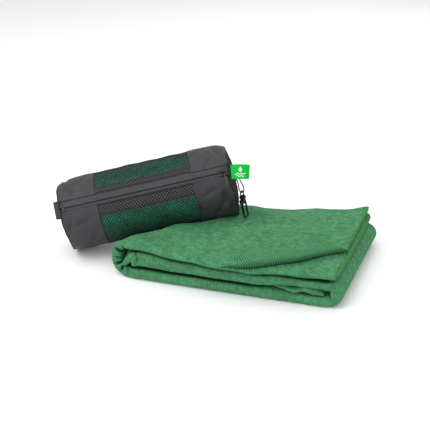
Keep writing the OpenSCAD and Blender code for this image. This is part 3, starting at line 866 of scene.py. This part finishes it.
# soft folds of the nylon: place, angle, slant, half length, half width, depth
DENTS = [(17, 30, 2.2, 11, 3.0, 1.6), (26, 44, 0.5, 14, 3.5, 1.1), (8, -34, 1.2, 12, 3.5, 1.4),
         (22, -30, 0.3, 14, 3.0, 0.9), (36, -62, 1.0, 16, 5.0, 1.2), (200, 22, 1.1, 12, 3.5, 1.3),
         (214, 38, 2.0, 12, 3.5, 1.5), (196, -26, 0.3, 12, 3.0, 0.8), (213, -40, 1.5, 15, 3.6, 2.2),
         (219, -62, 1.3, 12, 3.2, 2.0), (204, -58, 1.0, 14, 4.0, 1.4), (188, 52, 0.6, 12, 4.0, 0.9),
         (12, 62, 1.7, 12, 3.4, 1.2), (40, 20, 0.2, 10, 3.0, 0.7)]


def pouch_radius(s, turn):
    """Radius of the pouch's cloth; turn is in radians from the zip towards the top."""
    top = np.clip(np.cos(turn - np.radians(118)), 0, 1) ** 1.5
    left = (2.5 + 9.5 * top) * np.clip(1 - s / (12 + 18 * top), 0, 1) ** 2
    right = (2.0 + 4.5 * top) * np.clip(1 - (POUCH_L - s) / (10 + 8 * top), 0, 1) ** 2
    gather = 0.55 * np.sin(turn * 23 + 1.3 * np.sin(turn * 5)) * np.exp(-np.minimum(s, POUCH_L - s) / 9)
    arc = turn * POUCH_R
    loose = 0.40 * ripples(s, arc, 55, 11) + 0.28 * ripples(s, arc, 24, 12)
    calm = np.exp(-(np.sin(turn / 2) * 12) ** 2)
    degrees = signed_degrees(turn)
    dents = 0
    for at, angle, slant, long, wide, deep in DENTS:
        a, b = s - at, (degrees - angle) * POUCH_R / 57.3
        c, d = a * math.cos(slant) + b * math.sin(slant), b * math.cos(slant) - a * math.sin(slant)
        dents = dents + 2.1 * deep * np.exp(-(c / long) ** 2 - (d / wide) ** 2)
    return POUCH_R - 0.5 - left - right - dents + (gather + loose) * (1 - 0.8 * calm)


def from_pouch(x, y, z):
    """Points from places along the pouch's own three directions."""
    return POUCH_AT + np.stack([x, y, z], -1) @ np.stack([POUCH_X, POUCH_Y, POUCH_Z])


def pouch_point(s, turn, radius):
    """A point on the pouch; its ends are drawn in a little below the zip and at the lower left."""
    s, turn, radius = np.broadcast_arrays(s, turn, radius)
    degrees = signed_degrees(turn)
    s = s - 4.0 * bell(degrees, -13, 17) * ease(196, 226, s)
    s = s + 2.5 * bell(degrees, -66, 26) * ease(34, 0, s)
    return from_pouch(s, radius * np.sin(turn), radius * np.cos(turn))


NYLON_T = 0.7


def patch(name, s0, s1, from_deg, to_deg, lift, step, hem=0.0):
    """A sewn nylon panel on the pouch, between two places along it and two angles."""
    s = np.linspace(s0, s1, int((s1 - s0) / step))
    span = math.radians(to_deg - from_deg)
    turn = np.radians(from_deg) + np.linspace(0, span, int(span * POUCH_R / step))
    a, b = np.meshgrid(s, turn, indexing="ij")
    near = np.minimum(np.minimum(a - s0, s1 - a), np.minimum(b - turn[0], turn[-1] - b) * POUCH_R)
    radius = pouch_radius(a, b) + lift + hem * bell(near, 1.2, 0.9)
    return shell(name, pouch_point(a, b, radius), pouch_point(a, b, radius - NYLON_T), nylon,
                 cloth_uv(a, b * POUCH_R))


ZIP_ABOVE, ZIP_BELOW = 11.1, 5.3  # degrees of bare tape on either side of the coil
MESH_FROM, MESH_TO = 50.0, 176.0
TAPE_HIDDEN = 24.0     # degrees to the tapes' hidden edges


def make_nylon():
    for name, s0, s1 in (("nylon_band_left", 0.6, MESH_FROM), ("nylon_band_right", MESH_TO, POUCH_L - 0.6)):
        add(patch(name + "_cloth", s0, s1, ZIP_ABOVE, 360 - ZIP_BELOW, lift=0.25, step=1.6, hem=0.25),
            "pouch", "nylon", name)
    add(patch("back_panel_cloth", MESH_FROM - 1.5, MESH_TO + 1.5, 120, 240, lift=-0.15, step=2.5),
        "pouch", "nylon", "back_panel")


def make_mesh_panel(name, from_deg, to_deg, node):
    """Knitted mesh with real holes: diamonds of yarn, each round one oval hole."""
    pitch_s, pitch_t = 4.3, 5.0
    low, high = math.radians(from_deg) * POUCH_R, math.radians(to_deg) * POUCH_R
    corners, faces, places = {}, [], []

    def corner(s, t):
        key = (round(s, 3), round(t, 3))
        if key not in corners:
            corners[key] = len(places)
            places.append((s, t))
        return corners[key]

    turn = np.linspace(0, 2 * np.pi, 9)[:8]
    ring_s, ring_t = 1.34 * np.cos(turn), 1.26 * np.sin(turn)
    rim_s = pitch_s / 4 * np.array([2, 1, 0, -1, -2, -1, 0, 1])
    rim_t = pitch_t / 4 * np.array([0, 1, 2, 1, 0, -1, -2, -1])
    for row in range(int((high - low) / (pitch_t / 2)) - 1):
        for column in range(-1, int((MESH_TO - MESH_FROM) / pitch_s) + 1):
            s = MESH_FROM + pitch_s * (column + 0.5 + 0.5 * (row % 2))
            t = low + pitch_t / 2 * (row + 1)
            rim = [corner(s + a, t + b) for a, b in zip(rim_s, rim_t)]
            hole = [corner(s + a, t + b) for a, b in zip(ring_s, ring_t)]
            faces += [[rim[k - 1], rim[k], hole[k], hole[k - 1]] for k in (1, 2, 3, 4, 5, 6, 7, 0)]
    flat = np.array(places)
    turn = flat[:, 1] / POUCH_R
    points = pouch_point(flat[:, 0], turn, pouch_radius(flat[:, 0], turn) - 0.1)
    piece = to_mesh(name, points, faces, mesh_yarn, flat * MM)
    thick = piece.modifiers.new("yarn", "SOLIDIFY")
    thick.thickness = 0.45 * MM
    thick.offset = 0
    add(piece, "pouch", "mesh", node)


def make_zip():
    """The two tapes; each edge along the coil is rolled in, and the rest lies under the panels."""
    s = np.linspace(1.5, POUCH_L - 1.5, 150)
    for name, sign, bare in (("zip_tape_upper", 1, ZIP_ABOVE), ("zip_tape_lower", -1, ZIP_BELOW)):
        degrees = np.concatenate([np.linspace(0.75, 3, 8), np.linspace(3.4, bare - 0.8, 6),
                                  np.linspace(bare, TAPE_HIDDEN, 8)])
        turn = np.radians(degrees) * sign
        a, b = np.meshgrid(s, turn, indexing="ij")
        deg = np.abs(np.degrees(b))
        lift = (0.22 * bell(deg, 2.2, 0.6) - 0.55 * bell(deg, 0.75, 0.6)
                - 0.9 * ease(bare - 1.2, bare + 0.4, deg))
        radius = pouch_radius(a, b) + lift + 0.05 * np.sin(a * 1.1)
        outer, inner = pouch_point(a, b, radius), pouch_point(a, b, radius - 0.6)
        uv = cloth_uv(a, b * POUCH_R)
        outer, inner, uv = (grid[:, ::sign] for grid in (outer, inner, uv))
        tape = shell(name + "_cloth", outer, inner, tape_cloth, uv)
        # faces under the mesh get the darker tape, as painted shade
        tape.data.materials.append(shaded_hidden_tape)
        for face in tape.data.polygons:
            where = tape.data.uv_layers[0].data[face.loop_start].uv[1]
            face.material_index = int(abs(where) > math.radians(bare + 0.4) * POUCH_R * MM)
        add(tape, "pouch", "zip_tape", name)


def add_rod(points, faces, rings):
    """Adds one little closed rod to a mesh, from its rings of points."""
    rows, sides = rings.shape[:2]
    start = len(points)
    points.extend(rings.reshape(-1, 3))
    faces += grid_faces(rows, sides, True, start) + end_caps(rows, sides, start)


ROUND = np.linspace(0, 2 * np.pi, 6, endpoint=False)  # the six sides of a thread or tooth
TOOTH_PITCH = 1.6
COIL_R = 46.1          # the coil's distance from the pouch's axis


def make_coil():
    """Two rows of coil whose rounded teeth mesh down the middle of the zip."""
    reach, deep = np.array([(-0.9, 0.35), (-0.5, 0.7), (2.2, 0.7), (2.8, 0.4)]).T[..., None]
    for name, sign, shift in (("zip_coil_upper", 1, 0.0), ("zip_coil_lower", -1, TOOTH_PITCH / 2)):
        points, faces = [], []
        for s in np.arange(8 + shift, POUCH_L - 8, TOOTH_PITCH):
            add_rod(points, faces, from_pouch(s + 0.5 * np.cos(ROUND) + 0 * reach, sign * reach + 0 * ROUND,
                                              COIL_R + deep * np.sin(ROUND)))
        add(to_mesh(name + "_teeth", points, faces, coil_plastic), "pouch", "zip_coil", name)


def make_stitches():
    """Rows of thread: beside the zip, and where the bands are sewn to the mesh."""
    points, faces = [], []
    share = np.linspace(-0.5, 0.5, 4)[:, None]  # from end to end of one stitch
    rise = 0.42 - 0.35 * (2 * share) ** 2
    aside, up = 0.2 * np.cos(ROUND), 0.2 * np.sin(ROUND)

    def stitch(s, turn, along, round_it):
        """One stitch; along and round_it say how its length and its width lie on the pouch."""
        s, turn = s + 2.0 * share * along, turn + 2.0 * share / POUCH_R * round_it
        middle = pouch_radius(s, turn) + rise + up
        add_rod(points, faces, pouch_point(s + aside * round_it, turn + aside / POUCH_R * along, middle))

    for turn in (ZIP_ABOVE + 1.6, -ZIP_BELOW - 1.6):
        for s in np.arange(6, POUCH_L - 6, 3.0):
            stitch(s, math.radians(turn), 1, 0)
    for s in (MESH_FROM - 1.6, MESH_TO + 1.6):
        for turn in np.arange(ZIP_ABOVE + 3, 356 - ZIP_BELOW, 3.6):
            stitch(s, math.radians(turn), 0, 1)
    add(to_mesh("pouch_stitching", points, faces, webbing_yarn), "pouch", "zip_tape")


CAP_R = 45.0           # radius of an end cap laid flat, for its weave and slack


def make_ends():
    """Bound seams and gathered, domed end caps."""
    turn = np.linspace(0, 2 * np.pi, 240, endpoint=False)
    a, b = np.meshgrid(np.linspace(0.003, 1, 30), turn, indexing="ij")
    flat_x, flat_y = a * CAP_R * np.cos(b), a * CAP_R * np.sin(b)
    for side, s_end, sign in (("left", 0.0, -1), ("right", POUCH_L, 1)):
        seam = pouch_point(s_end - sign * 0.9, turn, pouch_radius(s_end, turn) - 0.5)
        add(tube_along(f"seam_binding_{side}_cloth", seam, 1.35, binding_yarn, flat=1.0, closed=True),
            "pouch", "binding", "seam_binding_" + side)
        rim = pouch_radius(s_end, b) - 1.2
        gather = 0.8 * a ** 3 * np.sin(b * 17 + 1.2 * np.sin(b * 4)) * ease(1.0, 0.9, a)
        slack = 3.0 * a * (1 - a) * ripples(flat_x, flat_y, 30, 21)
        pull = 1 - 0.9 * bell(signed_degrees(b), -13, 30) * a
        dome = sign * (6.0 * (1 - a ** 2) * pull + gather + slack)
        outer = pouch_point(s_end + dome, b, rim * a)
        inner = pouch_point(s_end + dome - sign * NYLON_T, b, rim * a)
        grids = [grid[::-sign] for grid in (outer, inner, cloth_uv(flat_x, flat_y))]
        add(shell(f"end_cap_{side}_cloth", *grids[:2], shaded_cap_nylon, grids[2], wrap=True),
            "pouch", "nylon", "end_cap_" + side)


ROLL_R, ROLL_CORE, ROLL_L = 46.0, 6.0, (12.0, 214.0)
ROLL_FROM = 200        # angle at which the roll's free end lies


def make_rolled_towel():
    """The second towel: folded in four like the first, then rolled from one end to the other."""
    layer = 1.25
    pitch = 4 * layer
    turns = (ROLL_R - ROLL_CORE - pitch) / pitch
    angle = np.linspace(0, 2 * np.pi * turns, 420)
    out = ROLL_R - pitch * angle / (2 * np.pi)
    low, high = ROLL_L[0] + 3, ROLL_L[1] - 3
    ends = np.tile(np.concatenate([np.linspace(low, high, 20), np.linspace(high, low, 20)]), 2)
    depth = np.repeat([0.5, 1.5, 2.5, 3.5], 20) * layer
    bulge = 2.2                # how far each fold between two layers stands out at the roll's end
    ends[[19, 20, 59, 60]] += bulge
    ends[[39, 40]] -= bulge
    taper = 1.2 * (ease(30, 10, ends) + ease(196, 216, ends))
    share = (out / ROLL_R)[:, None]
    turned = math.radians(ROLL_FROM) + angle[:, None] + 0 * ends
    along = ends + 0 * turned
    from_zip = np.abs(signed_degrees(turned))
    # the outermost turn lies snug under the pouch's cloth, and a little deeper along the zip
    snug = pouch_radius(along, turned) - 0.8 - 2.2 * ease(33, 26, from_zip) - 1.6 * ease(16, 9, from_zip)
    turn_share = np.mod(angle, 2 * np.pi)[:, None] / (2 * np.pi)
    loosened = pitch * turn_share * ease(1.0, 0.85, turn_share)
    relief = 0.15 * ripples(along, angle[:, None] * out[:, None], 30, 31)

    def surface(lift):
        radius = out[:, None] - depth + lift - taper * share + (snug + loosened - ROLL_R) * share ** 3
        return pouch_point(along, turned, radius + relief * (1 - share))

    uv = cloth_uv(angle[:, None] * 28, np.arange(80) * 10.5)
    roll = shell("rolled_towel_sheet", surface(0.4), surface(-0.4), roll_cloth, uv)
    add(roll, "pouch", "towel_cloth", "rolled_towel")
    edge = pouch_point(np.linspace(*ROLL_L, 60), math.radians(ROLL_FROM) - 0.03, ROLL_R - pitch / 2 - 1)
    hem = tube_along("rolled_towel_hem_thread", edge, 1.7, hem_thread, sides=8)
    add(hem, "pouch", "towel_hem", "rolled_towel_hem")
    return roll, hem


def make_grab_loop():
    """Folded webbing across the zip's lower end, ribbed along its length."""
    middle, half_gap, legs = 44.8, 3.1, 2.0
    turn = np.linspace(np.pi / 2, 3 * np.pi / 2, 22)
    top = [(x, middle + half_gap) for x in np.linspace(1.5, -legs, 10)]
    bend = [(-legs + half_gap * np.cos(w), middle + half_gap * np.sin(w)) for w in turn]
    low = [(x, middle - half_gap) for x in np.linspace(-legs, 0.5, 10)]
    line = np.array(top + bend[1:-1] + low)
    width = np.linspace(-11, 11, 34)
    ribs = 0.14 * np.abs(np.sin(width * 1.5)) + 0.1 * (np.abs(width) > 9.7)

    def face(lift, sign):
        x, z = beside(line, lift + sign * ribs)
        return from_pouch(x, width + 0 * x, z)

    add(shell("grab_loop_webbing", face(0.5, 1), face(-0.5, -1), webbing_yarn,
              cloth_uv(lengths_along(line)[:, None], width)), "pouch", "binding", "grab_loop")


TAG_TURN = math.radians(-12)
TAG_AT = (POUCH_L - 0.6, -1.7, 48.3)


def tag_point(x, y, z):
    """A place on the tag: x out from the seam, y up along it, z off its lower face."""
    x = x + (12 - x) * 0.12 * (9.5 - y) / 19
    y = y + 0.7 * (1 - ((x - 12) / 12) ** 2)
    sx = TAG_AT[0] + x * math.cos(TAG_TURN) - y * math.sin(TAG_TURN)
    sy = TAG_AT[1] + x * math.sin(TAG_TURN) + y * math.cos(TAG_TURN)
    return from_pouch(sx, sy, TAG_AT[2] + z)


def tag_sway(x, y):
    sway = 0.9 * np.sin(x / 24 * 2.6) + 0.3 * np.sin(y / 5 + 1) - 1.3 * ((y + 2) / 9.5) ** 2
    return sway * ease(0, 12, x)


def make_tag():
    reach, half_gap = 24.2, 0.75
    turn = np.linspace(-np.pi / 2, np.pi / 2, 12)
    line = np.array([(x, -half_gap) for x in np.linspace(0, reach, 26)]
                    + [(reach + half_gap * np.cos(w), half_gap * np.sin(w)) for w in turn[1:-1]]
                    + [(x, half_gap) for x in np.linspace(reach, 0, 26)])
    width = np.linspace(-9.5, 9.5, 26)

    def face(lift):
        x, z = beside(line, -lift + 0 * width)
        y = width + 0 * x
        return tag_point(x, y, z + half_gap + tag_sway(x, y))

    uv = cloth_uv(np.arange(len(line))[:, None], width)
    add(shell("tag_ribbon", face(0.2), face(-0.2), tag_satin, uv), "pouch", "tag", "tag")


def make_tag_print():
    """A drop over two rows of waves, woven in white; a made-up mark."""
    points, faces = [], []

    def ribbon(line, width):
        """A flat band with square edges along a line on the tag."""
        line = np.array(line, float)
        start = len(points)
        for place, out, w in zip(line, line_normals(line), width):
            for z in (1.72, 1.94):
                for k in (-1, 1):
                    x, y = place + out * k * w
                    points.append(tag_point(x, y, z + tag_sway(x, y)))
        for i in range(len(line) - 1):
            a, b = start + 4 * i, start + 4 * i + 4
            faces.extend([[a, a + 1, b + 1, b], [a + 2, b + 2, b + 3, a + 3],
                          [a, b, b + 2, a + 2], [a + 1, a + 3, b + 3, b + 1]])
        last = start + 4 * (len(line) - 1)
        faces.extend([[start, start + 2, start + 3, start + 1], [last, last + 1, last + 3, last + 2]])

    t = np.linspace(0, 1, 24)
    middle = 12.6
    ribbon([(middle, 6.6 - 7.6 * k) for k in t], 0.12 + 2.3 * np.sin(np.pi * t ** 1.7) ** 1.2)
    for height, reach in ((-3.4, 7.4), (-6.3, 5.2)):
        x = np.linspace(middle - reach, middle + reach, 60)
        ribbon([(a, height + 0.7 * np.sin((a - middle) * 1.25)) for a in x], np.full(60, 0.42))
    add(to_mesh("tag_mark", points, faces, tag_white, smooth=False), "pouch", "tag_print", "tag_print")


# ---- carried-over CAD nodes ----

def dress(names, material, bevel=0.0):
    for name in names:
        node = nodes[name]
        node.data.materials.clear()
        node.data.materials.append(material)
        if bevel:
            rounded = node.modifiers.new("edges", "BEVEL")
            rounded.width = bevel * MM
            rounded.segments = 2
            rounded.limit_method = "ANGLE"
            rounded.angle_limit = math.radians(40)


def dress_cad_nodes():
    dress(["bottom_stop", "top_stops"], black_nickel, 0.15)
    dress(["slider_body", "slider_bridge", "pull_tab"], black_nickel, 0.15)
    dress(["pull_link", "hook_eye", "hook_body", "gate"], black_nickel)
    dress(["gate_pin", "gate_spring"], bright_steel)


# ---- all of it ----

make_camera()
make_cord()
make_studio()
towel = make_folded_towel()
hems = make_towel_hems()
corner, corner_hem = make_turned_corner()
make_nylon()
make_mesh_panel("mesh_panel_upper_yarn", ZIP_ABOVE, 121, "mesh_panel_upper")
make_mesh_panel("mesh_panel_lower_yarn", 239 - 360, -ZIP_BELOW, "mesh_panel_lower")
make_zip()
make_coil()
make_stitches()
make_ends()
roll, roll_hem = make_rolled_towel()
make_grab_loop()
make_tag()
make_tag_print()
dress_cad_nodes()
